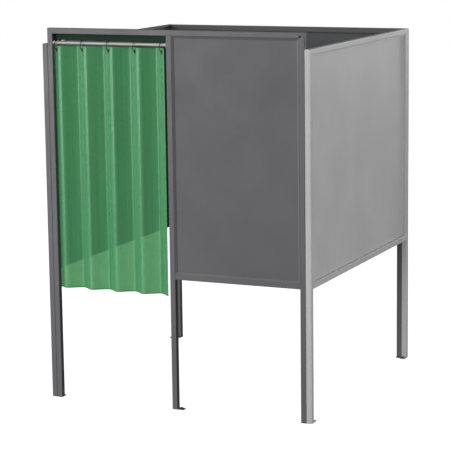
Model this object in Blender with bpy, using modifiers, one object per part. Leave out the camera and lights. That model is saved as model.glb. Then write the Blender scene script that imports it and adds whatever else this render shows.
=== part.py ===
"""Welding booth with a curtained doorway.

Four walls of square steel tube stand on legs and are bolted together at the corners.
The front wall is taller and has a doorway in its left half, closed by a pleated PVC
curtain that hangs from steel rings on a round rail.  Units are metres, +Z is up, the
front faces -Y, and the origin is on the floor at the middle of the booth's outline.
"""
import math

import bmesh
import bpy
from mathutils import Matrix, Vector

# ---------------------------------------------------------------- driving dimensions
GAP = 0.0003                 # clearance between pieces that touch
TUBE = 0.030                 # square tube, outside
TUBE_WALL = 0.002
TUBE_CORNER = 0.0025         # outside corner radius of the tube
MITRE_GAP = 0.0004

FRONT_WIDTH = 1.455          # front and back walls, over their legs
DEPTH = 1.530                # side walls, over their legs
FRONT_HEIGHT = 2.000
SIDE_HEIGHT = 1.917          # side and back walls
PANEL_LOW = 0.700            # underside of every bottom rail
DOOR_WIDTH = 0.663           # clear width of the doorway
HEADER_LOW = 1.935           # underside of the plate that closes the doorway's top
HEADER_SETBACK = 0.0262      # how far that plate is behind the front plane

SHEET = 0.002                # panel sheet
FRONT_BORDER = dict(side=0.011, end=0.011, depth=0.0060, slope=0.0045)
SIDE_BORDER = dict(side=0.030, end=0.004, depth=0.0135, slope=0.0)

FOOT_THICK = 0.005
FOOT_EAR = 0.035             # how far a foot plate runs past its leg
FOOT_HOLE = 0.0045           # radius of the floor-fixing hole in the ear
PAD_RUN = 0.012              # how far a pad runs past its leg

BOLT_HOLE = 0.0046
BOLT_SHANK = 0.0040
BOLT_HEAD = 0.0070
BOLT_HEAD_HIGH = 0.0030
BOLT_REACH = 0.012           # shank length inside the second leg
BOLT_HEIGHTS = (0.350, 1.550)
CORNER_SCREW_INSET = 0.0235     # from the front wall's right edge
CORNER_SCREW_DROP = 0.0205      # from the front wall's top

RAIL_RADIUS = 0.010
RAIL_DROP = 0.0475           # rail centre below the front top rail
RAIL_SETBACK = 0.015         # rail centre behind the front plane
BRACKET_FLANGE = (0.0135, 0.0025)
BRACKET_COLLAR = (0.0125, 0.0100)
BRACKET_SCREW = 0.0022       # radius of the flange's screw hole, inside the collar

RING_COUNT = 5
RING_FIRST = 0.017           # first ring, from the left post
RING_PITCH = 0.1533
RING_WIRE = 0.00175
RING_RADIUS = 0.024
RING_SEAT = 0.0018           # the ring's wire runs this far above the eyelet's centre

EYELET_HOLE = 0.0060
EYELET_BARREL = 0.0078
EYELET_RIM = 0.0110
EYELET_HALF = 0.0024         # half of the eyelet's length
EYELET_LIP = 0.0010
CURTAIN_HOLE = 0.0084        # radius of the hole the eyelet sits in

CURTAIN_THICK = 0.0010
CURTAIN_TOP = 1.907
CURTAIN_LOW = 0.612
CURTAIN_MARGIN_LEFT = 0.0135    # sheet edge beyond the first and last eyelets
CURTAIN_MARGIN_RIGHT = 0.0215
PLEAT_DEPTH = 0.0225         # half of the pleats' front-to-back depth
PLEAT_SKEW = 0.1455          # makes the flank that comes forward the steeper one
PLEAT_PHASE = 0.334          # puts the eyelets on that flank, just behind a ridge
PLEAT_STEPS = 24

# ---------------------------------------------------------------- derived positions
RING_REACH = RING_RADIUS + RING_WIRE - RAIL_SETBACK    # rings stand this far proud
LEFT = -FRONT_WIDTH / 2
FRONT = (RING_REACH - DEPTH) / 2
BACK = FRONT + DEPTH
DOOR_LEFT = LEFT + TUBE
DOOR_RIGHT = DOOR_LEFT + DOOR_WIDTH
RAIL_Y = FRONT + RAIL_SETBACK
RAIL_Z = FRONT_HEIGHT - TUBE - RAIL_DROP
RING_X = [DOOR_LEFT + RING_FIRST + i * RING_PITCH for i in range(RING_COUNT)]
RING_Z = RAIL_Z + RAIL_RADIUS + GAP + RING_WIRE - RING_RADIUS
EYELET_Z = RING_Z - RING_RADIUS - RING_SEAT

MATERIALS = {
    "dark_paint": ((0.135, 0.134, 0.145), 0.45, 0.0),
    "dark_panel": ((0.127, 0.126, 0.138), 0.50, 0.0),
    "light_paint": ((0.42, 0.42, 0.42), 0.45, 0.0),
    "light_panel": ((0.40, 0.40, 0.40), 0.50, 0.0),
    "bright_steel": ((0.62, 0.62, 0.63), 0.25, 1.0),
    "dark_steel": ((0.08, 0.08, 0.085), 0.40, 1.0),
    "black_rubber": ((0.02, 0.02, 0.02), 0.70, 0.0),
    "green_pvc": ((0.08, 0.33, 0.12), 0.20, 0.0),
}


# ---------------------------------------------------------------- scene and helpers
def clear_scene():
    for old in list(bpy.data.objects):
        bpy.data.objects.remove(old, do_unlink=True)


def new_collection(name):
    collection = bpy.data.collections.new(name)
    bpy.context.scene.collection.children.link(collection)
    return collection


def make_material(name):
    colour, roughness, metallic = MATERIALS[name]
    material = bpy.data.materials.new(name)
    material.use_nodes = True
    shader = material.node_tree.nodes["Principled BSDF"]
    shader.inputs["Base Color"].default_value = (*colour, 1.0)
    shader.inputs["Roughness"].default_value = roughness
    shader.inputs["Metallic"].default_value = metallic
    material.diffuse_color = (*colour, 1.0)
    return material


def add_object(name, data, material, location=(0, 0, 0), rotation=(0, 0, 0), parent=None):
    obj = bpy.data.objects.new(name, data)
    data.materials.clear()
    data.materials.append(shades[material])
    booth.objects.link(obj)
    obj.location = location
    obj.rotation_euler = rotation
    obj.parent = parent
    return obj


def add_cutter(name, mesh, location, rotation=(0, 0, 0), parent=None):
    obj = bpy.data.objects.new(name, mesh)
    cutters.objects.link(obj)
    obj.location = location
    obj.rotation_euler = rotation
    obj.parent = parent
    obj.hide_render = True
    obj.display_type = "WIRE"
    return obj


def cut(obj, cutter):
    boolean = obj.modifiers.new(cutter.name, "BOOLEAN")
    boolean.operation = "DIFFERENCE"
    boolean.solver = "EXACT"
    boolean.object = cutter


def mesh_from(bm, name):
    bmesh.ops.recalc_face_normals(bm, faces=bm.faces)
    mesh = bpy.data.meshes.new(name)
    bm.to_mesh(mesh)
    bm.free()
    return mesh


def smooth(mesh, degrees=35):
    mesh.shade_smooth()
    mesh.set_sharp_from_angle(angle=math.radians(degrees))


def outline_mesh(name, outlines, thickness):
    """Flat plate from closed outlines (the first is the edge, the others are holes)."""
    curve = bpy.data.curves.new(name, "CURVE")
    curve.dimensions = "2D"
    curve.fill_mode = "BOTH"
    curve.extrude = thickness / 2
    for outline in outlines:
        spline = curve.splines.new("POLY")
        spline.points.add(len(outline) - 1)
        for point, (x, y) in zip(spline.points, outline):
            point.co = (x, y, 0, 1)
        spline.use_cyclic_u = True
    guide = bpy.data.objects.new(name + "_outline", curve)
    bpy.context.scene.collection.objects.link(guide)
    graph = bpy.context.evaluated_depsgraph_get()
    mesh = bpy.data.meshes.new_from_object(guide.evaluated_get(graph))
    bpy.data.objects.remove(guide, do_unlink=True)
    bpy.data.curves.remove(curve)
    bm = bmesh.new()
    bm.from_mesh(mesh)
    bpy.data.meshes.remove(mesh)
    bmesh.ops.remove_doubles(bm, verts=bm.verts, dist=1e-6)
    return mesh_from(bm, name)


def rectangle(x0, y0, x1, y1, radius=0.0, steps=3):
    """Outline of a rectangle, with its corners rounded when radius is given."""
    if radius == 0.0:
        return [(x0, y0), (x1, y0), (x1, y1), (x0, y1)]
    centres = ((x1 - radius, y1 - radius), (x0 + radius, y1 - radius),
               (x0 + radius, y0 + radius), (x1 - radius, y0 + radius))
    points = []
    for quarter, (cx, cy) in enumerate(centres):
        for i in range(steps + 1):
            angle = math.pi / 2 * (quarter + i / steps)
            points.append((cx + radius * math.cos(angle), cy + radius * math.sin(angle)))
    return points


def circle(cx, cy, radius, steps=24):
    turn = 2 * math.pi / steps
    return [(cx + radius * math.cos(i * turn), cy + radius * math.sin(i * turn))
            for i in range(steps)]


def cylinder_mesh(name, radius, length, steps):
    bm = bmesh.new()
    bmesh.ops.create_cone(bm, cap_ends=True, segments=steps, radius1=radius, radius2=radius,
                          depth=length)
    return mesh_from(bm, name)


def turned(name, profile, material, location, rotation=(0, 0, 0), parent=None, steps=16):
    """Solid of revolution about the object's Z; the profile runs top to bottom."""
    bm = bmesh.new()
    corners = [bm.verts.new((x, 0, z)) for x, z in profile]
    closed = profile[0][0] > 0
    for first, second in zip(corners, corners[1:] + (corners[:1] if closed else [])):
        bm.edges.new((first, second))
    mesh = bpy.data.meshes.new(name)
    bm.to_mesh(mesh)
    bm.free()
    obj = add_object(name, mesh, material, location, rotation, parent)
    screw = obj.modifiers.new("turn", "SCREW")
    screw.axis = "Z"
    screw.steps = steps
    screw.render_steps = steps
    screw.use_merge_vertices = True
    screw.merge_threshold = 1e-5
    screw.use_smooth_shade = True
    return obj


# ---------------------------------------------------------------- walls
def wall_empty(name, x, y, turn):
    """A wall's own frame: X along the wall seen from outside, Y inwards, Z up."""
    empty = bpy.data.objects.new(name, None)
    booth.objects.link(empty)
    empty.location = (x, y, 0)
    empty.rotation_euler = (0, 0, turn)
    return empty


def tube(name, length, start_cut=0, end_cut=0):
    """Square tube along Z, centred; each cut is a mitre, +1 or -1 for its slope in X."""
    half = TUBE / 2
    outer = rectangle(-half, -half, half, half, TUBE_CORNER)
    bore = half - TUBE_WALL
    mesh = outline_mesh(name, (outer, rectangle(-bore, -bore, bore, bore)), length)
    for vertex in mesh.vertices:
        if vertex.co.z > 0 and end_cut:
            vertex.co.z -= half + end_cut * vertex.co.x
        elif vertex.co.z < 0 and start_cut:
            vertex.co.z += half + start_cut * vertex.co.x
    return mesh


def upright(name, wall, u, low, high, material, mitre=0):
    top = high - (MITRE_GAP if mitre else 0)
    mesh = tube(name, top - low, end_cut=mitre)
    return add_object(name, mesh, material, (u + TUBE / 2, TUBE / 2, (low + top) / 2),
                      parent=wall)


def crossbar(name, wall, u0, u1, low, material, mitred=False):
    mesh = tube(name, u1 - u0, *((1, 1) if mitred else (0, 0)))
    return add_object(name, mesh, material, ((u0 + u1) / 2, TUBE / 2, low + TUBE / 2),
                      (0, math.pi / 2, 0), wall)


def panel(name, wall, u0, u1, low, high, material, setback):
    """Sheet that fills the opening, set back from the wall's outer face."""
    bm = bmesh.new()
    bmesh.ops.create_cube(bm, size=1)
    size = (u1 - u0 - 2 * GAP, SHEET, high - low - 2 * GAP)
    bmesh.ops.scale(bm, vec=size, verts=bm.verts)
    place = ((u0 + u1) / 2, setback + GAP + SHEET / 2, (low + high) / 2)
    return add_object(name, mesh_from(bm, name), material, place, parent=wall)


def border(name, wall, u0, u1, low, high, material, side, end, depth, slope):
    """Picture-frame moulding around a panel; slope sets its inner edge further back."""
    wide, tall = (u1 - u0) / 2 - GAP, (high - low) / 2 - GAP
    inner = rectangle(side - wide, end - tall, wide - side, tall - end)
    mesh = outline_mesh(name, (rectangle(-wide, -tall, wide, tall), inner), depth - GAP)
    for vertex in mesh.vertices:
        on_inner_edge = abs(vertex.co.x) < wide - side / 2 and abs(vertex.co.y) < tall - end / 2
        if on_inner_edge and vertex.co.z > 0:
            vertex.co.z -= slope
    place = ((u0 + u1) / 2, (depth + GAP) / 2, (low + high) / 2)
    return add_object(name, mesh, material, place, (math.pi / 2, 0, 0), wall)


def foot_plate(name, wall, u, side, material):
    """Plate under a leg, with an ear that holds the floor-fixing hole on one side."""
    half = TUBE / 2
    edge = rectangle(-half, -half, half + FOOT_EAR, half, 0.004)
    hole = circle(half + FOOT_EAR / 2, 0, FOOT_HOLE)
    mesh = outline_mesh(name, (edge, hole), FOOT_THICK - GAP)
    turn = 0 if side > 0 else math.pi
    place = (u + half, half, (FOOT_THICK - GAP) / 2)
    return add_object(name, mesh, material, place, (0, 0, turn), wall)


def foot_pad(name, wall, u):
    """Rubber pad under a leg that has no plate."""
    half = TUBE / 2
    mesh = outline_mesh(name, (rectangle(-half, -half, half, half + PAD_RUN, 0.003),),
                        FOOT_THICK - GAP)
    place = (u + half, half, (FOOT_THICK - GAP) / 2)
    return add_object(name, mesh, "black_rubber", place, parent=wall)


def plain_wall(side, wall, width, tone, low_end, high_end):
    """Two mitred legs, two crossbars and a bordered panel; returns the two legs."""
    paint, sheet = tone + "_paint", tone + "_panel"
    top = SIDE_HEIGHT
    legs = [upright(f"{side}_{low_end}_leg", wall, 0, FOOT_THICK, top, paint, 1),
            upright(f"{side}_{high_end}_leg", wall, width - TUBE, FOOT_THICK, top, paint, -1)]
    crossbar(f"{side}_top_rail", wall, 0, width, top - TUBE, paint, mitred=True)
    inside = (TUBE, width - TUBE, PANEL_LOW + TUBE, top - TUBE)
    crossbar(f"{side}_bottom_rail", wall, TUBE + GAP, width - TUBE - GAP, PANEL_LOW, paint)
    panel(f"{side}_panel", wall, *inside, sheet, SIDE_BORDER["depth"])
    border(f"{side}_panel_border", wall, *inside, paint, **SIDE_BORDER)
    return legs


def front_wall(wall):
    """Taller wall: three legs, a full-width top rail and a panel right of the doorway."""
    paint, sheet = "dark_paint", "dark_panel"
    middle = TUBE + DOOR_WIDTH
    left = upright("front_left_leg", wall, 0, FOOT_THICK, FRONT_HEIGHT, paint, 1)
    upright("front_middle_leg", wall, middle, FOOT_THICK, FRONT_HEIGHT - TUBE - GAP, paint)
    right = upright("front_right_leg", wall, FRONT_WIDTH - TUBE, FOOT_THICK, FRONT_HEIGHT,
                    paint, -1)
    top = crossbar("front_top_rail", wall, 0, FRONT_WIDTH, FRONT_HEIGHT - TUBE, paint,
                   mitred=True)
    inside = (middle + TUBE, FRONT_WIDTH - TUBE, PANEL_LOW + TUBE, FRONT_HEIGHT - TUBE)
    crossbar("front_bottom_rail", wall, inside[0] + GAP, inside[1] - GAP, PANEL_LOW, paint)
    panel("front_panel", wall, *inside, sheet, FRONT_BORDER["depth"])
    border("front_panel_border", wall, *inside, paint, **FRONT_BORDER)
    panel("door_header", wall, TUBE, middle, HEADER_LOW, FRONT_HEIGHT - TUBE, sheet,
          HEADER_SETBACK)
    foot_plate("front_middle_foot", wall, middle, 1, paint)
    foot_pad("front_left_pad", wall, 0)
    foot_pad("front_right_pad", wall, FRONT_WIDTH - TUBE)
    return left, right, top


def bolt_profile(reach):
    """Button head above z = 0 and a plain shank below it."""
    return [(0, BOLT_HEAD_HIGH), (BOLT_HEAD * 0.55, BOLT_HEAD_HIGH * 0.93),
            (BOLT_HEAD * 0.88, BOLT_HEAD_HIGH * 0.6), (BOLT_HEAD, 0), (BOLT_SHANK, 0),
            (BOLT_SHANK, 0.0008 - reach), (BOLT_SHANK - 0.0008, -reach), (0, -reach)]


def corner_bolts(corner, side, y, side_leg, end_leg):
    """Bolts from the side wall's outer face into the front or back wall's leg."""
    outer = side * (FRONT_WIDTH / 2 + GAP + TUBE)
    reach = TUBE + GAP + BOLT_REACH
    turn = (0, side * math.pi / 2, 0)
    hole = cylinder_mesh(corner + "_hole", BOLT_HOLE, 2 * reach + 0.004, 16)
    for level, height in zip(("lower", "upper"), BOLT_HEIGHTS):
        cutter = add_cutter(f"{corner}_{level}_hole", hole, (outer, y, height), turn)
        cut(side_leg, cutter)
        cut(end_leg, cutter)
        turned(f"{corner}_{level}_bolt", bolt_profile(reach), "dark_steel",
               (outer + side * GAP, y, height), turn)


def corner_screw(right_leg, top_rail):
    """Screw through the mitre of the front wall's top right corner."""
    x = FRONT_WIDTH / 2 - CORNER_SCREW_INSET
    z = FRONT_HEIGHT - CORNER_SCREW_DROP
    hole = cylinder_mesh("corner_screw_hole", BOLT_HOLE, 0.030, 16)
    cutter = add_cutter("corner_screw_hole", hole, (x, FRONT, z), (math.pi / 2, 0, 0))
    cut(right_leg, cutter)
    cut(top_rail, cutter)
    turned("front_corner_screw", bolt_profile(0.010), "dark_steel", (x, FRONT - GAP, z),
           (math.pi / 2, 0, 0))


# ---------------------------------------------------------------- curtain
def pleat(x):
    """Front-to-back place of the sheet's middle at x: a skewed wave, one per ring."""
    along = 2 * math.pi * (x - RING_X[0]) / RING_PITCH
    wave = math.sin(along + PLEAT_SKEW * math.sin(along) + PLEAT_PHASE)
    return RAIL_Y + PLEAT_DEPTH * (math.sin(PLEAT_PHASE) - wave)


def pleat_turn(x):
    """Turn about Z that lays an eyelet flat on the sheet."""
    step = 1e-4
    return math.atan2(pleat(x + step) - pleat(x - step), 2 * step)


def curtain_rail():
    clear = BRACKET_FLANGE[1] + 2 * GAP
    length = DOOR_WIDTH - 2 * clear
    mesh = outline_mesh("curtain_rail", (circle(0, 0, RAIL_RADIUS),
                                         circle(0, 0, RAIL_RADIUS - 0.0015)), length)
    smooth(mesh)
    middle = (DOOR_LEFT + DOOR_RIGHT) / 2
    add_object("curtain_rail", mesh, "bright_steel", (middle, RAIL_Y, RAIL_Z),
               (0, math.pi / 2, 0))


def rail_bracket(name, x, turn):
    """Flange against the leg with a collar that holds the end of the rail."""
    flange, thick = BRACKET_FLANGE
    collar, run = BRACKET_COLLAR
    bore = RAIL_RADIUS + GAP
    profile = [(bore, thick + run), (collar, thick + run), (collar, thick), (flange, thick),
               (flange, 0), (BRACKET_SCREW, 0), (BRACKET_SCREW, thick), (bore, thick)]
    turned(name, profile, "bright_steel", (x, RAIL_Y, RAIL_Z), (0, turn, 0), steps=24)


def curtain_ring(index, x):
    bm = bmesh.new()
    around, section = 28, 8
    loops = []
    for i in range(around):
        turn = Matrix.Rotation(2 * math.pi * i / around, 3, "X")
        loop = []
        for k in range(section):
            angle = 2 * math.pi * k / section
            spoke = Vector((RING_WIRE * math.cos(angle), 0,
                            RING_RADIUS + RING_WIRE * math.sin(angle)))
            loop.append(bm.verts.new(turn @ spoke))
        loops.append(loop)
    for first, second in zip(loops, loops[1:] + loops[:1]):
        for k in range(section):
            n = (k + 1) % section
            bm.faces.new((first[k], first[n], second[n], second[k]))
    mesh = mesh_from(bm, f"ring_{index}")
    smooth(mesh, 60)
    add_object(f"ring_{index}", mesh, "dark_steel", (x, RAIL_Y, RING_Z))


def eyelet(index, x):
    """Pressed eyelet: a barrel through the sheet with a lip on each face."""
    flat = EYELET_HALF - EYELET_LIP
    profile = [(EYELET_HOLE, EYELET_HALF), (EYELET_RIM - 0.0008, EYELET_HALF),
               (EYELET_RIM, flat), (EYELET_BARREL, flat), (EYELET_BARREL, -flat),
               (EYELET_RIM, -flat), (EYELET_RIM - 0.0008, -EYELET_HALF),
               (EYELET_HOLE, -EYELET_HALF)]
    turned(f"eyelet_{index}", profile, "dark_steel", (x, pleat(x), EYELET_Z),
           (math.pi / 2, 0, pleat_turn(x)), steps=24)


def curtain():
    """Pleated sheet with a round hole for each eyelet."""
    low_x = RING_X[0] - CURTAIN_MARGIN_LEFT
    high_x = RING_X[-1] + CURTAIN_MARGIN_RIGHT
    steps = round((high_x - low_x) / RING_PITCH * PLEAT_STEPS)
    bm = bmesh.new()
    bmesh.ops.create_grid(bm, x_segments=steps, y_segments=1, size=0.5)
    for vertex in bm.verts:
        x = low_x + (vertex.co.x + 0.5) * (high_x - low_x)
        z = CURTAIN_LOW + (vertex.co.y + 0.5) * (CURTAIN_TOP - CURTAIN_LOW)
        vertex.co = (x, pleat(x), z)
    mesh = bpy.data.meshes.new("curtain")
    bm.to_mesh(mesh)
    bm.free()
    mesh.shade_smooth()
    sheet = add_object("curtain", mesh, "green_pvc")
    solid = sheet.modifiers.new("thickness", "SOLIDIFY")
    solid.thickness = CURTAIN_THICK
    solid.offset = 0
    hole = cylinder_mesh("eyelet_hole", CURTAIN_HOLE, 0.008, 16)
    for index, x in enumerate(RING_X, 1):
        cutter = add_cutter(f"eyelet_{index}_hole", hole, (x, pleat(x), EYELET_Z),
                            (math.pi / 2, 0, pleat_turn(x)))
        cut(sheet, cutter)


# ---------------------------------------------------------------- assembly
clear_scene()
booth = new_collection("welding_booth")
cutters = new_collection("cutters")
shades = {name: make_material(name) for name in MATERIALS}

side_x = FRONT_WIDTH / 2 + GAP + TUBE
front = wall_empty("front_wall", LEFT, FRONT, 0)
right = wall_empty("right_wall", side_x, FRONT, math.pi / 2)
back = wall_empty("back_wall", -LEFT, BACK, math.pi)
left = wall_empty("left_wall", -side_x, BACK, -math.pi / 2)

front_left, front_right, front_top = front_wall(front)
right_front, right_rear = plain_wall("right", right, DEPTH, "light", "front", "rear")
back_right, back_left = plain_wall("back", back, FRONT_WIDTH, "dark", "right", "left")
left_rear, left_front = plain_wall("left", left, DEPTH, "dark", "rear", "front")

foot_plate("right_front_foot", right, 0, 1, "light_paint")
foot_plate("right_rear_foot", right, DEPTH - TUBE, -1, "light_paint")
foot_plate("left_rear_foot", left, 0, 1, "dark_paint")
foot_plate("left_front_foot", left, DEPTH - TUBE, -1, "dark_paint")
foot_pad("back_right_pad", back, 0)
foot_pad("back_left_pad", back, FRONT_WIDTH - TUBE)

front_y, rear_y = FRONT + TUBE / 2, BACK - TUBE / 2
corner_bolts("front_left", -1, front_y, left_front, front_left)
corner_bolts("front_right", 1, front_y, right_front, front_right)
corner_bolts("rear_left", -1, rear_y, left_rear, back_left)
corner_bolts("rear_right", 1, rear_y, right_rear, back_right)
corner_screw(front_right, front_top)

curtain_rail()
rail_bracket("rail_bracket_left", DOOR_LEFT + GAP, math.pi / 2)
rail_bracket("rail_bracket_right", DOOR_RIGHT - GAP, -math.pi / 2)
for number, ring_x in enumerate(RING_X, 1):
    curtain_ring(number, ring_x)
    eyelet(number, ring_x)
curtain()
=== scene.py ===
import math

import bmesh
import bpy
import numpy as np
from mathutils import Matrix, Vector


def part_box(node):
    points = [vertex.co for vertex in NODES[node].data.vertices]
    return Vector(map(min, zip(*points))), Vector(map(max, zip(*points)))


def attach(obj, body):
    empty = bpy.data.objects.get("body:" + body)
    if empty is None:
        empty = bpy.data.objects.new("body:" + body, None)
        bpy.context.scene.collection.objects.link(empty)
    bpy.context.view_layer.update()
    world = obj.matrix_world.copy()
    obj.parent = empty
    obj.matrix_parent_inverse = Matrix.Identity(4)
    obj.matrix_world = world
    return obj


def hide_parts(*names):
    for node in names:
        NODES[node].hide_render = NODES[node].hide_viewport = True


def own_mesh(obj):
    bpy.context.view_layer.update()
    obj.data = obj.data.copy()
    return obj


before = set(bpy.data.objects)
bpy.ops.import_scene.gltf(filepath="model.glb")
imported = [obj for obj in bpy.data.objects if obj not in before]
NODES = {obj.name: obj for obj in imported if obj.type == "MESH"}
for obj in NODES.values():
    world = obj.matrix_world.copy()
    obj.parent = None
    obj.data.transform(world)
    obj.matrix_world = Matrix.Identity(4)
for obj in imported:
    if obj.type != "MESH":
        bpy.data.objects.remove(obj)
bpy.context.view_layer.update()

SCENE = bpy.context.scene

# ---------------------------------------------------------------- places from the frame
TUBE = 0.030                 # side of the square tube, outside
GAP = 0.0003                 # clearance between pieces that touch
RINGS = [f"ring_{i}" for i in range(1, 6)]
EYELETS = [f"eyelet_{i}" for i in range(1, 6)]
HANGERS = ["booth", "hanger_2", "hanger_3", "hanger_4", "hanger_5"]


def middle(node):
    low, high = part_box(node)
    return (low + high) / 2


RAIL = middle("curtain_rail")
RAIL_RADIUS = (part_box("curtain_rail")[1].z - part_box("curtain_rail")[0].z) / 2
RING_AT = [middle(name) for name in RINGS]
EYELET_AT = [middle(name) for name in EYELETS]
RING_WIRE = 0.00175          # radius of the wire
RING_RADIUS = (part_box("ring_1")[1].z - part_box("ring_1")[0].z) / 2 - RING_WIRE
RING_PITCH = RING_AT[1].x - RING_AT[0].x

# the sheet: its edges past the first and last ring, and its pleat wave
LEFT_MARGIN = 0.0160
RIGHT_MARGIN = 0.0215
SHEET_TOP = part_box("curtain")[1].z
SHEET_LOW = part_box("curtain")[0].z
SHEET_LEFT = RING_AT[0].x - LEFT_MARGIN
SHEET_RIGHT = RING_AT[-1].x + RIGHT_MARGIN
PLEAT_DEPTH = 0.0225         # half of the wave's depth, front to back
PLEAT_SKEW = 0.1455          # makes one flank of each pleat wider than the other
PLEAT_PHASE = 0.334          # radians from the middle of a flank to the ring on it
VALLEY_CREASE = 0.965        # sharpness of the folds at the back; 1 is a knife edge
CREASE_CHANGE = 0.13         # half of what the ridges in front are rounder by
MARGIN_FLATTENED = 0.75      # share of the wave that the left margin's edge loses
SHEET_THICK = 0.001
HOLE = 0.0084                # radius of the hole that an eyelet sits in
HEM = 0.006                  # height of the folded hem along the bottom
HEM_HALF = 0.0013            # half of the folded hem's thickness
COLUMN_STEP = 0.0092
ROW_STEP = 0.013
ROWS_TO_EYELET = 3           # rows of faces from the top edge to the eyelets


# ---------------------------------------------------------------- camera
def add_camera():
    """Long lens from the front right, from a little above the booth; angles in radians."""
    yaw, pitch, roll = 0.4233, 0.173, -0.0132
    distance = 10.5476
    target = Vector((-0.0758, 0.040375, 0.8545))
    forward = Vector((-math.sin(yaw) * math.cos(pitch), math.cos(yaw) * math.cos(pitch),
                      -math.sin(pitch)))
    level = Vector((math.cos(yaw), math.sin(yaw), 0))
    above = level.cross(forward)
    right = math.cos(roll) * level + math.sin(roll) * above
    up = right.cross(forward)
    data = bpy.data.cameras.new("camera")
    data.sensor_width = 36.0
    data.lens = 150.58
    camera = bpy.data.objects.new("camera", data)
    SCENE.collection.objects.link(camera)
    turn = Matrix((right, up, -forward)).transposed().to_4x4()
    camera.matrix_world = Matrix.Translation(target - forward * distance) @ turn
    data.clip_start = 0.1
    data.clip_end = 200.0
    SCENE.camera = camera


# ---------------------------------------------------------------- material nodes
class Shader:
    """A node material: each call adds one node and links what it is given."""

    def __init__(self, name):
        self.material = bpy.data.materials.new(name)
        self.material.use_nodes = True
        self.tree = self.material.node_tree
        self.surface = self.tree.nodes["Principled BSDF"]
        self.place = self.add("ShaderNodeTexCoord").outputs["Object"]

    def add(self, kind, inputs=None, **settings):
        made = self.tree.nodes.new(kind)
        for key, value in settings.items():
            setattr(made, key, value)
        for key, value in (inputs or {}).items():
            self.put(made.inputs[key], value)
        return made

    def put(self, socket, value):
        if isinstance(value, bpy.types.NodeSocket):
            self.tree.links.new(value, socket)
        else:
            socket.default_value = value

    def set(self, **inputs):
        for key, value in inputs.items():
            self.put(self.surface.inputs[key.replace("_", " ")], value)

    def noise(self, scale, detail=3.0, rough=0.5, place=None, distortion=0.0):
        made = self.add("ShaderNodeTexNoise", {
            "Vector": place or self.place, "Scale": scale, "Detail": detail,
            "Roughness": rough, "Distortion": distortion})
        return made.outputs["Fac"]

    def stretch(self, scale):
        made = self.add("ShaderNodeMapping", {"Vector": self.place, "Scale": scale})
        return made.outputs["Vector"]

    def ramp(self, value, low, high, out_low=0.0, out_high=1.0):
        made = self.add("ShaderNodeMapRange", {
            "Value": value, "From Min": low, "From Max": high,
            "To Min": out_low, "To Max": out_high})
        return made.outputs["Result"]

    def math(self, operation, a, b=0.0):
        made = self.add("ShaderNodeMath", {0: a, 1: b}, operation=operation)
        return made.outputs[0]

    def mix(self, share, a, b):
        made = self.add("ShaderNodeMix", data_type="RGBA")
        self.put(made.inputs[0], share)
        self.put(made.inputs[6], a)
        self.put(made.inputs[7], b)
        return made.outputs[2]

    def split(self, vector):
        return self.add("ShaderNodeSeparateXYZ", {"Vector": vector}).outputs

    def height(self):
        return self.split(self.place)["Z"]

    def edges(self, radius):
        """1 on corners and edges, 0 on flat faces."""
        rounded = self.add("ShaderNodeBevel", {"Radius": radius}, samples=4)
        plain = self.add("ShaderNodeNewGeometry")
        dot = self.add("ShaderNodeVectorMath", {0: rounded.outputs[0],
                                                1: plain.outputs["Normal"]},
                       operation="DOT_PRODUCT")
        return self.ramp(dot.outputs["Value"], 0.985, 0.80)

    def bump(self, height, distance, under=None):
        inputs = {"Height": height, "Distance": distance}
        if under is not None:
            inputs["Normal"] = under
        return self.add("ShaderNodeBump", inputs).outputs["Normal"]


def grey(value):
    return (value, value, value, 1.0)


def scaled(colour, factor):
    return tuple(min(1.0, c * factor) for c in colour) + (1.0,)


BARE_STEEL = (0.33, 0.32, 0.31, 1.0)
DUST = (0.24, 0.23, 0.21, 1.0)
DUST_HEIGHT = 0.14           # how far up the legs floor dust reaches
PEEL = 0.00012               # depth of the coat's grain


def powder_coat(name, colour, roughness, gloss=0.5):
    """Textured powder coat: fine grain, faint cloudiness, scuffs, worn edges, dusty feet."""
    s = Shader(name)
    bright = scaled(colour, 1.04)
    dim = scaled(colour, 0.94)
    cloud = s.ramp(s.noise(2.3, 4.0), 0.35, 0.65)
    streak = s.ramp(s.noise(1.0, 3.0, place=s.stretch((30.0, 30.0, 1.6))), 0.40, 0.70)
    speck = s.ramp(s.noise(520.0, 2.0), 0.30, 0.70)
    tone = s.mix(cloud, dim, bright)
    tone = s.mix(s.math("MULTIPLY", streak, 0.22), tone, dim)
    tone = s.mix(s.math("MULTIPLY", speck, 0.16), tone, bright)
    scratches = s.ramp(s.noise(14.0, 6.0, 0.7, distortion=1.2), 0.655, 0.70)
    chipped = s.ramp(s.noise(38.0, 5.0, 0.65), 0.50, 0.62)
    worn = s.math("MULTIPLY", s.edges(0.0016), chipped)
    tone = s.mix(s.math("MULTIPLY", worn, 0.55), tone, BARE_STEEL)
    dust_line = s.math("ADD", s.height(), s.ramp(s.noise(9.0, 4.0), 0.3, 0.7, -0.05, 0.05))
    dust = s.ramp(dust_line, DUST_HEIGHT, 0.0, 0.0, 0.14)
    tone = s.mix(dust, tone, DUST)
    rough = s.ramp(s.noise(5.0, 5.0, 0.6), 0.3, 0.7, roughness - 0.06, roughness + 0.07)
    rough = s.math("ADD", rough, s.math("MULTIPLY", scratches, 0.10))
    rough = s.math("ADD", rough, s.math("MULTIPLY", dust, 0.5))
    grain = s.bump(s.noise(750.0, 2.0), PEEL)
    grain = s.bump(s.noise(60.0, 2.0), PEEL * 2, under=grain)
    s.set(Base_Color=tone, Roughness=rough, Metallic=s.math("MULTIPLY", worn, 0.6),
          Normal=grain, IOR=1.5, Specular_IOR_Level=gloss)
    return s.material


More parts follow.
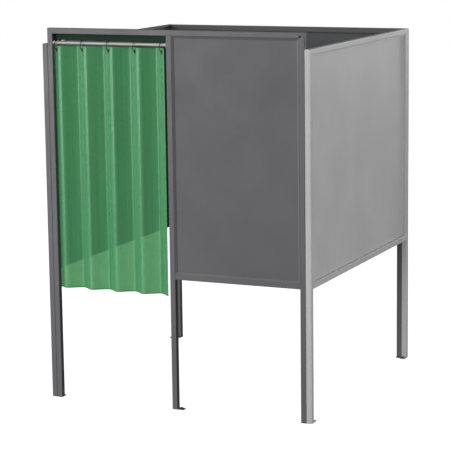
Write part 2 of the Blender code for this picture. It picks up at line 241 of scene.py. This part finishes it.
def plated_steel(name, colour, roughness, along):
    """Zinc plate: drawn or spun lines along one direction, cloudy spangle, dull spots."""
    s = Shader(name)
    lines = s.noise(1.0, 4.0, 0.6, place=s.stretch(along))
    spangle = s.add("ShaderNodeTexVoronoi", {"Vector": s.place, "Scale": 220.0})
    cloud = s.ramp(s.noise(24.0, 4.0), 0.35, 0.70)
    dull = scaled(colour, 0.62)
    tone = s.mix(s.math("MULTIPLY", cloud, 0.25), scaled(colour, 1.0), dull)
    tone = s.mix(s.ramp(spangle.outputs["Distance"], 0.0, 1.0, 0.0, 0.14), tone, dull)
    rough = s.ramp(lines, 0.3, 0.7, roughness - 0.07, roughness + 0.10)
    s.set(Base_Color=tone, Metallic=1.0, Roughness=rough,
          Normal=s.bump(lines, 0.00006))
    return s.material


def blackened_steel(name):
    """Black-oxide hardware with rubbed edges and a faint oily bloom."""
    s = Shader(name)
    cloud = s.ramp(s.noise(90.0, 4.0), 0.35, 0.70)
    tone = s.mix(cloud, (0.030, 0.031, 0.034, 1.0), (0.062, 0.060, 0.058, 1.0))
    rubbed = s.math("MULTIPLY", s.edges(0.0006), s.ramp(s.noise(260.0, 3.0), 0.42, 0.58))
    tone = s.mix(s.math("MULTIPLY", rubbed, 0.7), tone, (0.34, 0.33, 0.32, 1.0))
    rough = s.ramp(s.noise(150.0, 3.0), 0.3, 0.7, 0.30, 0.48)
    s.set(Base_Color=tone, Metallic=0.85, Roughness=rough,
          Normal=s.bump(s.noise(900.0, 2.0), 0.00004))
    return s.material


def rubber(name):
    """Black moulded rubber with a fine cell grain and dust at the floor."""
    s = Shader(name)
    tone = s.mix(s.ramp(s.noise(70.0, 5.0), 0.35, 0.7), (0.012, 0.012, 0.013, 1.0),
                 (0.035, 0.034, 0.033, 1.0))
    dust = s.ramp(s.height(), 0.005, 0.0, 0.0, 0.5)
    tone = s.mix(dust, tone, (0.10, 0.095, 0.09, 1.0))
    grain = s.add("ShaderNodeTexVoronoi", {"Vector": s.place, "Scale": 700.0})
    s.set(Base_Color=tone, Roughness=s.ramp(s.noise(120.0), 0.3, 0.7, 0.62, 0.82),
          Normal=s.bump(grain.outputs["Distance"], 0.0001))
    return s.material


PVC_CLEAR = (0.61, 0.90, 0.64, 1.0)
PVC_DEEP = (0.116, 0.482, 0.194, 1.0)
PVC_PALE = (0.140, 0.538, 0.224, 1.0)
PVC_HAZE = (0.19, 0.58, 0.26, 1.0)
# painted shade for the flank of each pleat that turns to the left: its colour and its cover
PVC_FLANK_SHADE = (0.05, 0.23, 0.10, 1.0)
FLANK_SHADE_COVER = 0.90           # cover on the flanks that turn to the left


def clear_pvc(name, cover):
    """Tinted translucent sheet: calendering streaks, faint haze and dust, glossy skin.

    The cover is the share that hides what is behind. The flank of each pleat that turns
    towards the left gets painted shade: a darker tint and more cover.
    """
    s = Shader(name)
    turned = s.split(s.add("ShaderNodeNewGeometry").outputs["Normal"])
    # painted shade, picked by the normal: the flank that turns to the left
    flank = s.ramp(s.math("MULTIPLY", turned["X"], turned["Y"]), 0.08, 0.34)
    streak = s.ramp(s.noise(1.0, 4.0, 0.55, place=s.stretch((60.0, 60.0, 1.1))), 0.32, 0.68)
    haze = s.ramp(s.noise(6.0, 4.0), 0.35, 0.68)
    tone = s.mix(streak, PVC_DEEP, PVC_PALE)
    tone = s.mix(s.math("MULTIPLY", haze, 0.18), tone, PVC_HAZE)
    tone = s.mix(s.math("MULTIPLY", flank, 0.45), tone, PVC_FLANK_SHADE)
    smudge = s.ramp(s.noise(11.0, 5.0, 0.65, distortion=0.8), 0.40, 0.75)
    rough = s.math("ADD", s.ramp(streak, 0.0, 1.0, 0.24, 0.30),
                   s.math("MULTIPLY", smudge, 0.10))
    grain = s.bump(s.noise(420.0, 2.0), 0.00003)
    grain = s.bump(s.noise(26.0, 3.0), 0.0006, under=grain)
    s.set(Base_Color=tone, Roughness=rough, Normal=grain, IOR=1.5, Specular_IOR_Level=0.8)
    clear = s.add("ShaderNodeBsdfTransparent", {"Color": PVC_CLEAR})
    share = s.ramp(streak, 0.0, 1.0, cover - 0.02, cover + 0.02)
    both = s.add("ShaderNodeMixShader", {
        0: s.math("ADD", share, s.math("MULTIPLY", flank, FLANK_SHADE_COVER - cover)),
        1: clear.outputs["BSDF"], 2: s.surface.outputs["BSDF"]})
    s.put(s.tree.nodes["Material Output"].inputs["Surface"], both.outputs["Shader"])
    return s.material


def weld_metal(name, colour):
    """Painted weld bead, a little glossier than the coat round it."""
    s = Shader(name)
    tone = s.mix(s.ramp(s.noise(160.0, 4.0), 0.35, 0.7), grey(colour * 0.8),
                 grey(colour * 1.15))
    s.set(Base_Color=tone, Roughness=s.ramp(s.noise(300.0), 0.3, 0.7, 0.34, 0.5),
          Normal=s.bump(s.noise(500.0, 3.0), 0.0001))
    return s.material


LOOKS = {
    "dark_paint": powder_coat("dark_paint_look", (0.135, 0.134, 0.145), 0.46),
    "dark_panel": powder_coat("dark_panel_look", (0.127, 0.127, 0.139), 0.52),
    "light_paint": powder_coat("light_paint_look", (0.43, 0.43, 0.43), 0.46),
    "light_panel": powder_coat("light_panel_look", (0.43, 0.43, 0.43), 0.50),
    "bright_steel": plated_steel("bright_steel_look", (0.58, 0.565, 0.575), 0.62,
                                 (4.0, 900.0, 900.0)),
    "dark_steel": blackened_steel("dark_steel_look"),
    "black_rubber": rubber("black_rubber_look"),
    "green_pvc": clear_pvc("green_pvc_look", 0.65),
}
# door header: dark green painted shade, standing for the top rail's shadow on it, with
# painted green light from the curtain
HEADER_PAINTED_SHADE_LOOK = powder_coat("header_painted_shade_look", (0.016, 0.046, 0.028), 0.60, gloss=0.1)
HEM_LOOK = clear_pvc("green_hem_look", 0.80)
DARK_WELD = weld_metal("dark_weld_look", 0.13)
LIGHT_WELD = weld_metal("light_weld_look", 0.40)


def dress_frame():
    """Gives every CAD node the finish that its record slot names; the door header gets a dark
    green painted shade instead.
    """
    for name, obj in NODES.items():
        for slot in obj.material_slots:
            key = slot.material.name.split(".")[0]
            slot.material = HEADER_PAINTED_SHADE_LOOK if name == "door_header" else LOOKS[key]


# ---------------------------------------------------------------- mesh helpers
def new_piece(name, bm, look, body, smooth_angle=40):
    """Makes an object of the mesh, in its look, that rides on a body."""
    bmesh.ops.recalc_face_normals(bm, faces=bm.faces)
    mesh = bpy.data.meshes.new(name)
    bm.to_mesh(mesh)
    bm.free()
    mesh.shade_smooth()
    mesh.set_sharp_from_angle(angle=math.radians(smooth_angle))
    mesh.materials.append(look)
    piece = bpy.data.objects.new(name, mesh)
    SCENE.collection.objects.link(piece)
    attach(piece, body)
    return piece


def hexagon(flats):
    """Radius of a hexagon at a turn about its middle; flats is half of its width."""
    side = math.pi / 3
    return lambda turn: flats / math.cos(turn % side - side / 2)


def lathe(bm, profile, place, steps, closed=False):
    """Turns a profile about the place's own Z: (radius or its function of turn, height).

    A closed profile also joins its last point to its first, for a piece with a bore.
    """
    loops = []
    for radius, height in profile:
        if radius == 0.0:
            loops.append([bm.verts.new(place @ Vector((0, 0, height)))])
            continue
        loop = []
        for k in range(steps):
            turn = 2 * math.pi * k / steps
            size = radius(turn) if callable(radius) else radius
            spot = Vector((size * math.cos(turn), size * math.sin(turn), height))
            loop.append(bm.verts.new(place @ spot))
        loops.append(loop)
    pairs = list(zip(loops, loops[1:])) + ([(loops[-1], loops[0])] if closed else [])
    for first, second in pairs:
        for k in range(steps):
            n = (k + 1) % steps
            face = [first[k % len(first)], first[n % len(first)],
                    second[n % len(second)], second[k % len(second)]]
            face = list(dict.fromkeys(face))
            if len(face) > 2:
                bm.faces.new(face)


def sweep(bm, points, ups, section, closed=False):
    """Runs a cross-section, a function of the point's number, along a line of points."""
    loops = []
    count = len(points)
    for i, (point, up) in enumerate(zip(points, ups)):
        after = points[(i + 1) % count] if closed or i + 1 < count else point
        before = points[i - 1] if closed or i else point
        along = (after - before).normalized()
        across = along.cross(up).normalized()
        loops.append([bm.verts.new(point + across * a + up * b) for a, b in section(i)])
    pairs = list(zip(loops, loops[1:])) + ([(loops[-1], loops[0])] if closed else [])
    for first, second in pairs:
        for k in range(len(first)):
            n = (k + 1) % len(first)
            bm.faces.new((first[k], first[n], second[n], second[k]))
    if not closed:
        bm.faces.new(loops[0])
        bm.faces.new(list(reversed(loops[-1])))


# ---------------------------------------------------------------- fasteners and welds
HEAD_HIGH = 0.0030           # height of a button head
HEAD_RADIUS = 0.0070
SHANK_RADIUS = 0.0040
EAR_HOLE = 0.0325            # from a leg's centre to the hole in its foot plate's ear
BEAD_LOW = 0.0021            # half widths of the weld beads: under a bottom rail,
BEAD_UPRIGHT = 0.0019        # up its inner side,
BEAD_MITRE = 0.0014          # and across a mitre
BEAD_END = 0.0025            # from a bead's end to the corner that it stops short of
BEAD_STEP = 0.0009


def facing(place, direction):
    """Place whose own Z points along the direction."""
    turn = Vector(direction).to_track_quat("Z", "Y").to_matrix().to_4x4()
    return Matrix.Translation(place) @ turn


def button_screw(name, node, direction, slot):
    """Button-head screw with a hexagon socket, along the direction its head faces."""
    direction = Vector(direction)
    low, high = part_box(node)
    centre = (low + high) / 2
    half = abs((high - low).dot(direction)) / 2
    reach = 2 * half - HEAD_HIGH
    seat = centre + direction * (half - HEAD_HIGH)
    socket = hexagon(0.0022)
    mouth = hexagon(0.0024)
    bm = bmesh.new()
    profile = [(0.0, 0.0011), (socket, 0.0013), (socket, HEAD_HIGH - 0.0003),
               (mouth, HEAD_HIGH - 0.00005), (0.0034, HEAD_HIGH), (0.0045, 0.0027),
               (0.0056, 0.0021), (0.0065, 0.0012), (HEAD_RADIUS, 0.0004),
               (HEAD_RADIUS - 0.0002, 0.0), (SHANK_RADIUS, 0.0),
               (SHANK_RADIUS, 0.0008 - reach), (SHANK_RADIUS - 0.0008, -reach),
               (0.0, -reach)]
    lathe(bm, profile, facing(seat, direction), 36)
    piece = new_piece(name, bm, LOOKS[slot], "booth", 30)
    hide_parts(node)


def add_screws():
    """Corner bolts in the paint of the side wall that they go through, and one dark screw."""
    for corner in ("front_left", "front_right", "rear_left", "rear_right"):
        on_right = corner.endswith("right")
        outwards = (1, 0, 0) if on_right else (-1, 0, 0)
        paint = "light_paint" if on_right else "dark_paint"
        for level in ("lower", "upper"):
            button_screw(f"{corner}_{level}_screw", f"{corner}_{level}_bolt", outwards, paint)
    button_screw("corner_socket_screw", "front_corner_screw", (0, -1, 0), "dark_steel")


def add_foot_screws():
    """Hexagon floor screw and washer in the ear of each foot plate."""
    for foot, leg in (("left_front_foot", "left_front_leg"),
                      ("left_rear_foot", "left_rear_leg"),
                      ("front_middle_foot", "front_middle_leg"),
                      ("right_front_foot", "right_front_leg"),
                      ("right_rear_foot", "right_rear_leg")):
        away = middle(foot) - middle(leg)
        away.z = 0
        spot = middle(leg) + away.normalized() * EAR_HOLE
        spot.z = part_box(foot)[1].z
        head = hexagon(0.0064)
        rim = hexagon(0.0060)
        place = Matrix.Translation(spot)
        bm = bmesh.new()
        lathe(bm, [(0.0088, 0.0003), (0.0088, 0.0012), (0.0084, 0.0016), (0.0046, 0.0016),
                   (0.0046, 0.0), (0.0084, 0.0), (0.0088, 0.0003)], place, 36)
        lathe(bm, [(0.0, 0.0067), (0.0050, 0.0067), (rim, 0.0064), (head, 0.0058),
                   (head, 0.0022), (rim, 0.0017), (0.0042, 0.0017), (0.0042, -0.0044),
                   (0.0, -0.0046)], place, 36)
        bmesh.ops.remove_doubles(bm, verts=bm.verts, dist=0.00001)
        new_piece(foot + "_screw", bm, LOOKS["dark_steel"], "booth", 30)


def bead(bm, start, end, width, seed):
    """Rippled weld bead along a line, tapered at both ends."""
    start, end = Vector(start), Vector(end)
    along = end - start
    count = max(6, round(along.length / BEAD_STEP))
    side = along.normalized().orthogonal().normalized()
    points = [start + along * (i / count) for i in range(count + 1)]

    def shape(i):
        ripple = 1 + 0.09 * math.sin(i * 1.9 + seed) + 0.05 * math.sin(i * 0.61 + 2.3 * seed)
        taper = min(1.0, 0.45 + 0.22 * min(i, count - i))
        size = width * ripple * taper
        return [(size * math.cos(math.pi * k / 5), size * math.sin(math.pi * k / 5))
                for k in range(10)]

    sweep(bm, points, [side] * (count + 1), shape)


def add_welds():
    """Fillet beads where each bottom rail meets its legs, and across each mitre inside."""
    walls = (("front", 0, 1, DARK_WELD, "dark_paint"),
             ("back", 0, -1, DARK_WELD, "dark_paint"),
             ("left", 1, 1, DARK_WELD, "dark_paint"),
             ("right", 1, -1, LIGHT_WELD, "light_paint"))
    for number, (wall, axis, inward, look, slot) in enumerate(walls):
        across = 1 - axis
        low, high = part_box(wall + "_bottom_rail")
        inner = high[across] if inward > 0 else low[across]
        outer = low[across] if inward > 0 else high[across]
        bm = bmesh.new()

        def spot(run, depth, z):
            place = Vector((0, 0, z))
            place[axis] = run
            place[across] = depth
            return place

        for end_number, run in enumerate((low[axis], high[axis])):
            seed = 3 * number + end_number
            bead(bm, spot(run, outer + inward * BEAD_END, low.z),
                 spot(run, inner - inward * BEAD_END, low.z), BEAD_LOW, seed)
            bead(bm, spot(run, inner, low.z + BEAD_END), spot(run, inner, high.z - BEAD_END),
                 BEAD_UPRIGHT, seed + 1.3)
        top_low, top_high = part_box(wall + "_top_rail")
        for end, way in ((top_low[axis], 1), (top_high[axis], -1)):
            first = spot(end + way * (TUBE - BEAD_END), inner, top_high.z - TUBE + BEAD_END)
            last = spot(end + way * BEAD_END, inner, top_high.z - BEAD_END)
            bead(bm, first, last, BEAD_MITRE, number + way)
        new_piece(wall + "_welds", bm, look, "booth", 50)


# ---------------------------------------------------------------- curtain hardware
RAIL_WALL = 0.0015           # thickness of the rail's wall


def add_rail():
    """Drawn tube with open ends."""
    low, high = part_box("curtain_rail")
    bm = bmesh.new()
    place = Matrix.Translation((low.x, RAIL.y, RAIL.z)) @ Matrix.Rotation(math.pi / 2, 4, "Y")
    length = high.x - low.x
    outer, inner, ease = RAIL_RADIUS, RAIL_RADIUS - RAIL_WALL, 0.0004
    profile = [(inner, ease), (inner + ease / 2, 0), (outer - ease, 0), (outer, ease),
               (outer, length - ease), (outer - ease, length),
               (inner + ease / 2, length), (inner, length - ease)]
    lathe(bm, profile, place, 48, closed=True)
    piece = new_piece("rail_tube", bm, LOOKS["bright_steel"], "booth")
    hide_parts("curtain_rail")


def add_brackets():
    """Turned sockets that hold the rail's ends, each with a set screw underneath."""
    bore = RAIL_RADIUS + GAP
    plate = 0.0025               # thickness of the flange
    fixing = 0.0022              # radius of the hole through the flange
    for side, inwards in (("left", 1), ("right", -1)):
        node = "rail_bracket_" + side
        low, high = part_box(node)
        wall = low.x if inwards > 0 else high.x
        place = facing((wall, RAIL.y, RAIL.z), (inwards, 0, 0))
        flange = (high.z - low.z) / 2
        collar = flange - 0.0010
        run = high.x - low.x
        bm = bmesh.new()
        profile = [(bore + 0.0003, run), (collar - 0.0010, run),
                   (collar - 0.0003, run - 0.0003), (collar, run - 0.0010),
                   (collar, plate + 0.0007), (collar + 0.0003, plate + 0.0002),
                   (flange - 0.0004, plate), (flange, plate - 0.0004), (flange, 0.0004),
                   (flange - 0.0004, 0.0), (fixing, 0.0), (fixing, plate), (bore, plate),
                   (bore, run - 0.0003)]
        lathe(bm, profile, place, 48, closed=True)
        spot = Vector((wall + inwards * 0.0066, RAIL.y, RAIL.z - collar))
        socket = hexagon(0.0010)
        lathe(bm, [(0.0, -0.0004), (socket, -0.0003), (socket, 0.0005), (0.0017, 0.0006),
                   (0.0020, 0.0003), (0.0020, -0.0010), (0.0, -0.0012)],
              facing(spot, (0, 0, -1)), 24)
        piece = new_piece(f"rail_socket_{side}", bm, LOOKS["bright_steel"], "booth",
                          35)
        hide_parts(node)


def add_ring_keeper():
    """Notched plate behind the rail's left end that keeps the first ring at its place."""
    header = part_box("door_header")
    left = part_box("rail_bracket_left")[0].x
    front, back = header[0].y + 0.0001, header[1].y - 0.0001
    top, low = header[0].z, header[0].z - 0.0225
    right, corner = left + 0.0400, 0.0040
    ring, notch, mouth = RING_AT[0].x, 0.0034, 0.0042
    edge = [(left, top), (right, top), (right, low + corner), (right - corner, low),
            (ring + mouth, low), (ring + notch, low + 0.0010),
            (ring + notch, top - 0.0016), (ring + 0.0020, top - 0.0004),
            (ring - 0.0020, top - 0.0004), (ring - notch, top - 0.0016),
            (ring - notch, low + 0.0010), (ring - mouth, low), (left, low)]
    centre_x = sum(x for x, z in edge) / len(edge)
    centre_z = sum(z for x, z in edge) / len(edge)
    bm = bmesh.new()
    ease = 0.0002
    loops = []
    for y, shrink in ((front, ease), (front + ease, 0.0), (back - ease, 0.0), (back, ease)):
        loops.append([bm.verts.new((x - math.copysign(shrink, x - centre_x), y,
                                    z - math.copysign(shrink, z - centre_z)))
                      for x, z in edge])
    for first, second in zip(loops, loops[1:]):
        for k in range(len(edge)):
            n = (k + 1) % len(edge)
            bm.faces.new((first[k], first[n], second[n], second[k]))
    bm.faces.new(loops[0])
    bm.faces.new(loops[-1])
    # the keeper wears the door header's dark green painted shade
    new_piece("ring_keeper", bm, HEADER_PAINTED_SHADE_LOOK, "booth", 30)


def add_eyelets():
    """Pressed grommets: a rolled front rim, a barrel and a washer on the back."""
    half = 0.0024                # half of a grommet's thickness
    front = [(0.0060, 0.0006), (0.00612, 0.0014), (0.0065, 0.0020), (0.0072, half - 0.0001),
             (0.0080, half), (0.0092, 0.0022), (0.0103, 0.0018), (0.0109, 0.0013),
             (0.0110, 0.0010), (0.0106, 0.0008), (0.0079, 0.0008)]
    back = [(0.0079, -0.0008), (0.0104, -0.0009), (0.0110, -0.0012), (0.0109, -0.0015),
            (0.0098, -0.0017), (0.0088, -0.0018), (0.0080, -0.0022), (0.0072, -half),
            (0.0065, -0.0021), (0.0061, -0.0015), (0.0060, -0.0006)]
    for index, (centre, body) in enumerate(zip(EYELET_AT, HANGERS), 1):
        step = 0.0001
        slope = (float(pleat(centre.x + step)) - float(pleat(centre.x - step))) / (2 * step)
        place = facing(centre, Vector((slope, -1, 0)).normalized())
        bm = bmesh.new()
        lathe(bm, front + back, place, 48, closed=True)
        piece = new_piece(f"grommet_{index}", bm, LOOKS["dark_steel"], body, 50)
        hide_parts(f"eyelet_{index}")


def add_rings():
    """Round wire rings, each with its closed butt joint at the top rear."""
    around, section = 72, 14
    joint, pinch = (9, 10), 0.90
    for index, (centre, body) in enumerate(zip(RING_AT, HANGERS), 1):
        bm = bmesh.new()
        points = []
        ups = []
        for i in range(around):
            turn = 2 * math.pi * i / around
            spoke = Vector((0, math.sin(turn), math.cos(turn)))
            points.append(centre + spoke * RING_RADIUS)
            ups.append(spoke)

        def shape(i):
            wire = RING_WIRE * (pinch if i in joint else 1.0)
            return [(wire * math.cos(2 * math.pi * k / section),
                     wire * math.sin(2 * math.pi * k / section)) for k in range(section)]

        sweep(bm, points, ups, shape, closed=True)
        piece = new_piece(f"ring_wire_{index}", bm, LOOKS["dark_steel"], body, 60)
        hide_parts(f"ring_{index}")


# ---------------------------------------------------------------- sheet
def folded(turn):
    """Wave from -1 to 1 with straight flanks, round ridges in front and tight valleys."""
    crease = VALLEY_CREASE - CREASE_CHANGE * (1 + np.sin(turn))
    return np.arcsin(crease * np.sin(turn)) / np.arcsin(crease)


def pleat(x):
    """Front-to-back place of the sheet's middle at x: one pleat to each ring."""
    along = 2 * np.pi * (x - RING_AT[0].x) / RING_PITCH
    wave = folded(along + PLEAT_SKEW * np.sin(along) + PLEAT_PHASE)
    back = PLEAT_DEPTH * (folded(PLEAT_PHASE) - wave)
    edge = np.clip((RING_AT[0].x - x) / LEFT_MARGIN, 0.0, 1.0)
    return RAIL.y + back * (1 - MARGIN_FLATTENED * edge)


TABLE_X = np.linspace(SHEET_LEFT, SHEET_RIGHT, 6001)
TABLE_Y = pleat(TABLE_X)
TABLE_S = np.concatenate([[0.0], np.cumsum(np.hypot(np.diff(TABLE_X), np.diff(TABLE_Y)))])
FLAT_WIDTH = float(TABLE_S[-1])


def spaced(start, end, step):
    """Evenly spaced places from start to end, about a step apart."""
    return list(np.linspace(start, end, max(1, round(abs(end - start) / step)) + 1))


def sheet_grid():
    """Flat cut of the sheet as columns and rows that pass through every eyelet."""
    eyelet_s = [float(np.interp(p.x, TABLE_X, TABLE_S)) for p in EYELET_AT]
    stops = [0.0] + eyelet_s + [FLAT_WIDTH]
    columns = [0.0]
    for start, end in zip(stops, stops[1:]):
        columns += spaced(start, end, COLUMN_STEP)[1:]
    step = (SHEET_TOP - EYELET_AT[0].z) / ROWS_TO_EYELET
    rows = [SHEET_TOP - i * step for i in range(2 * ROWS_TO_EYELET + 1)]
    rows += spaced(rows[-1], SHEET_LOW + HEM, ROW_STEP)[1:] + [SHEET_LOW]
    holes = [(min(range(len(columns)), key=lambda c: abs(columns[c] - s)), ROWS_TO_EYELET)
             for s in eyelet_s]
    return columns, rows, holes


def build_sheet():
    """Pleated sheet with its holes; its flat cut is kept as the layer named flat."""
    columns, rows, holes = sheet_grid()
    bm = bmesh.new()
    flat = {}
    for r, z in enumerate(rows):
        for c, s in enumerate(columns):
            flat[c, r] = [s, z]
    for hc, hr in holes:
        s0, z0 = flat[hc, hr]
        for dc in (-1, 0, 1):
            for dr in (-1, 0, 1):
                if dc or dr:
                    size = math.hypot(dc, dr)
                    flat[hc + dc, hr + dr] = [s0 + HOLE * dc / size, z0 - HOLE * dr / size]
    verts = {}
    for key, (s, z) in flat.items():
        if key in holes:
            continue
        x = float(np.interp(s, TABLE_S, TABLE_X))
        verts[key] = bm.verts.new((x, float(pleat(x)), z))
    uv = bm.loops.layers.uv.new("flat")
    for r in range(len(rows) - 1):
        for c in range(len(columns) - 1):
            keys = [(c, r), (c, r + 1), (c + 1, r + 1), (c + 1, r)]
            if any(k in holes for k in keys):
                continue
            face = bm.faces.new([verts[k] for k in keys])
            for loop, key in zip(face.loops, keys):
                loop[uv].uv = flat[key]
    bm.verts.index_update()
    index = {key: v.index for key, v in verts.items()}
    mesh = bpy.data.meshes.new("curtain_sheet")
    bm.to_mesh(mesh)
    bm.free()
    mesh.shade_smooth()
    mesh.materials.append(LOOKS["green_pvc"])
    sheet = bpy.data.objects.new("curtain_sheet", mesh)
    SCENE.collection.objects.link(sheet)
    return sheet, index, columns, rows, holes


def hang(sheet, index, holes):
    """Lets the sheet settle under its own weight from its stiff, pinned top band."""
    frames = 36
    limit = 0.006                # how far a point may move
    pins = sheet.vertex_groups.new(name="pins")
    band = holes[0][1] + 1
    pins.add([i for (c, r), i in index.items() if r <= band], 1.0, "REPLACE")
    rest = np.array([v.co for v in sheet.data.vertices])
    cloth = sheet.modifiers.new("cloth", "CLOTH")
    settings = cloth.settings
    settings.quality = 8
    settings.mass = 0.25
    settings.tension_stiffness = 120.0
    settings.compression_stiffness = 120.0
    settings.shear_stiffness = 60.0
    settings.bending_model = "ANGULAR"
    settings.bending_stiffness = 12.0
    settings.tension_damping = 12.0
    settings.compression_damping = 12.0
    settings.shear_damping = 12.0
    settings.bending_damping = 2.0
    settings.air_damping = 3.0
    settings.vertex_group_mass = "pins"
    settings.pin_stiffness = 1.0
    cloth.collision_settings.use_collision = False
    cloth.collision_settings.use_self_collision = False
    cloth.point_cache.frame_start = 1
    cloth.point_cache.frame_end = frames
    for number in range(1, frames + 1):
        SCENE.frame_set(number)
    graph = bpy.context.evaluated_depsgraph_get()
    settled = sheet.evaluated_get(graph).data
    moved = np.array([v.co for v in settled.vertices])
    sheet.modifiers.remove(cloth)
    SCENE.frame_set(1)
    shift = moved - rest
    size = np.linalg.norm(shift, axis=1, keepdims=True)
    shift *= np.minimum(1.0, limit / np.maximum(size, 1e-9))
    for vertex, co in zip(sheet.data.vertices, rest + shift):
        vertex.co = co


def hem_strip(sheet, index, columns, rows):
    """Folded edge along the bottom: a second layer on each face of the sheet."""
    points = sheet.data.vertices
    normals = [v.normal.copy() for v in points]
    last = len(rows) - 1
    lines = []
    for side in (1, -1):
        for row in (last - 1, last):
            line = []
            for c in range(len(columns)):
                i = index[c, row]
                line.append(points[i].co + normals[i] * side * HEM_HALF)
            lines.append(line)
    front_up, front_low, back_up, back_low = lines
    under = [(a + b) / 2 - Vector((0, 0, HEM_HALF)) for a, b in zip(front_low, back_low)]
    seam = [p + (q - p) * 0.5 for p, q in zip(front_up, back_up)]
    bm = bmesh.new()
    grid = [[bm.verts.new(p) for p in line]
            for line in (front_up, front_low, under, back_low, back_up, seam)]
    count = len(grid)
    for k in range(count):
        n = (k + 1) % count
        for c in range(len(columns) - 1):
            bm.faces.new((grid[k][c], grid[k][c + 1], grid[n][c + 1], grid[n][c]))
    bm.faces.new([line[0] for line in grid])
    bm.faces.new([line[-1] for line in reversed(grid)])
    return new_piece("curtain_hem", bm, HEM_LOOK, "booth", 60)


def add_curtain():
    """Sheet and hem: the sheet settles as it hangs, then gets finer faces and its thickness.
    """
    sheet, index, columns, rows, holes = build_sheet()
    hang(sheet, index, holes)
    hem = hem_strip(sheet, index, columns, rows)
    finer = sheet.modifiers.new("finer", "SUBSURF")
    finer.levels = 1
    finer.render_levels = 1
    finer.boundary_smooth = "PRESERVE_CORNERS"
    solid = sheet.modifiers.new("thickness", "SOLIDIFY")
    solid.thickness = SHEET_THICK
    solid.offset = 0
    graph = bpy.context.evaluated_depsgraph_get()
    made = bpy.data.meshes.new_from_object(sheet.evaluated_get(graph))
    sheet.modifiers.clear()
    sheet.data = made
    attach(sheet, "booth")
    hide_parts("curtain")
    for piece in (sheet, hem):
        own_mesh(piece)


# ---------------------------------------------------------------- studio
FLOOR_GLOW = 0.86
WORLD_LOW = 0.07             # the surround's strength behind the booth
WORLD_HIGH = 0.38            # and in front of it


def add_area(name, place, aim, size, power, only=None):
    """Soft light; with only, it reaches the objects of that collection and no others."""
    data = bpy.data.lights.new(name, "AREA")
    data.shape = "RECTANGLE"
    data.size, data.size_y = size
    data.energy = power
    lamp = bpy.data.objects.new(name, data)
    SCENE.collection.objects.link(lamp)
    lamp.location = place
    lamp.rotation_euler = (Vector(aim) - Vector(place)).to_track_quat("-Z", "Y").to_euler()
    if only:
        lamp.light_linking.receiver_collection = only


def add_floor():
    """Pale floor: it takes the shadows, and adds no light of its own to the booth."""
    bm = bmesh.new()
    bmesh.ops.create_grid(bm, x_segments=8, y_segments=8, size=60.0)
    mesh = bpy.data.meshes.new("floor")
    bm.to_mesh(mesh)
    bm.free()
    floor = bpy.data.objects.new("floor", mesh)
    SCENE.collection.objects.link(floor)
    s = Shader("floor_look")
    tone = s.mix(s.noise(0.8, 3.0), (0.60, 0.60, 0.60, 1.0), (0.64, 0.64, 0.64, 1.0))
    s.set(Base_Color=tone, Roughness=0.9, Specular_IOR_Level=0.0,
          Emission_Color=(1, 1, 1, 1), Emission_Strength=FLOOR_GLOW)
    mesh.materials.append(s.material)
    floor.visible_diffuse = False
    floor.visible_glossy = False


def add_world():
    """Soft studio surround: brighter in front, on the left and overhead."""
    world = bpy.data.worlds.new("studio")
    SCENE.world = world
    world.use_nodes = True
    tree = world.node_tree
    place = tree.nodes.new("ShaderNodeTexCoord")
    dot = tree.nodes.new("ShaderNodeVectorMath")
    dot.operation = "DOT_PRODUCT"
    dot.inputs[1].default_value = Vector((-0.60, -0.75, 0.25)).normalized()
    tree.links.new(place.outputs["Generated"], dot.inputs[0])
    level = tree.nodes.new("ShaderNodeMapRange")
    level.inputs["From Min"].default_value = -0.6
    level.inputs["From Max"].default_value = 1.0
    level.inputs["To Min"].default_value = WORLD_LOW
    level.inputs["To Max"].default_value = WORLD_HIGH
    tree.links.new(dot.outputs["Value"], level.inputs["Value"])
    tree.links.new(level.outputs["Result"], tree.nodes["Background"].inputs["Strength"])
    tree.nodes["Background"].inputs["Color"].default_value = (1, 1, 1, 1)


def add_studio():
    """Lights, floor and surround; side and wall_fill light the right wall only."""
    add_world()
    wall = bpy.data.collections.new("right_wall")
    for name, obj in NODES.items():
        if name.startswith("right_"):
            wall.objects.link(obj)
    fixings = ["right_welds", "right_front_foot_screw", "right_rear_foot_screw"]
    fixings += [f"{end}_right_{level}_screw" for end in ("front", "rear")
                for level in ("lower", "upper")]
    for name in fixings:
        wall.objects.link(bpy.data.objects[name])
    add_area("key", (-3.7, -8.4, 3.6), (0, 0, 1.0), (2.6, 2.0), 157.0)
    add_area("strip", (-4.9, -8.4, 1.05), (-0.3, 0, 1.2), (1.0, 2.0), 150.0)
    add_area("fill", (1.2, -7.6, 6.8), (0.2, 0, 1.0), (2.4, 2.4), 86.0)
    add_area("side", (8.5, 0.5, 2.1), (0.7, 0, 1.3), (2.4, 2.4), 255.0, only=wall)
    add_area("wall_fill", (4.4, -8.0, 1.8), (0.7, 0, 1.3), (2.0, 2.0), 240.0, only=wall)
    add_area("rear", (2.5, 9.5, 3.0), (0, 0, 1.0), (3.0, 3.0), 260.0)
    add_area("left", (-13.0, -5.2, 2.4), (0, 0, 1.0), (2.8, 3.2), 330.0)
    add_floor()
    SCENE.view_settings.view_transform = "Standard"


# ---------------------------------------------------------------- everything
add_camera()
dress_frame()
add_screws()
add_foot_screws()
add_welds()
add_rail()
add_brackets()
add_ring_keeper()
add_rings()
add_eyelets()
add_curtain()
add_studio()
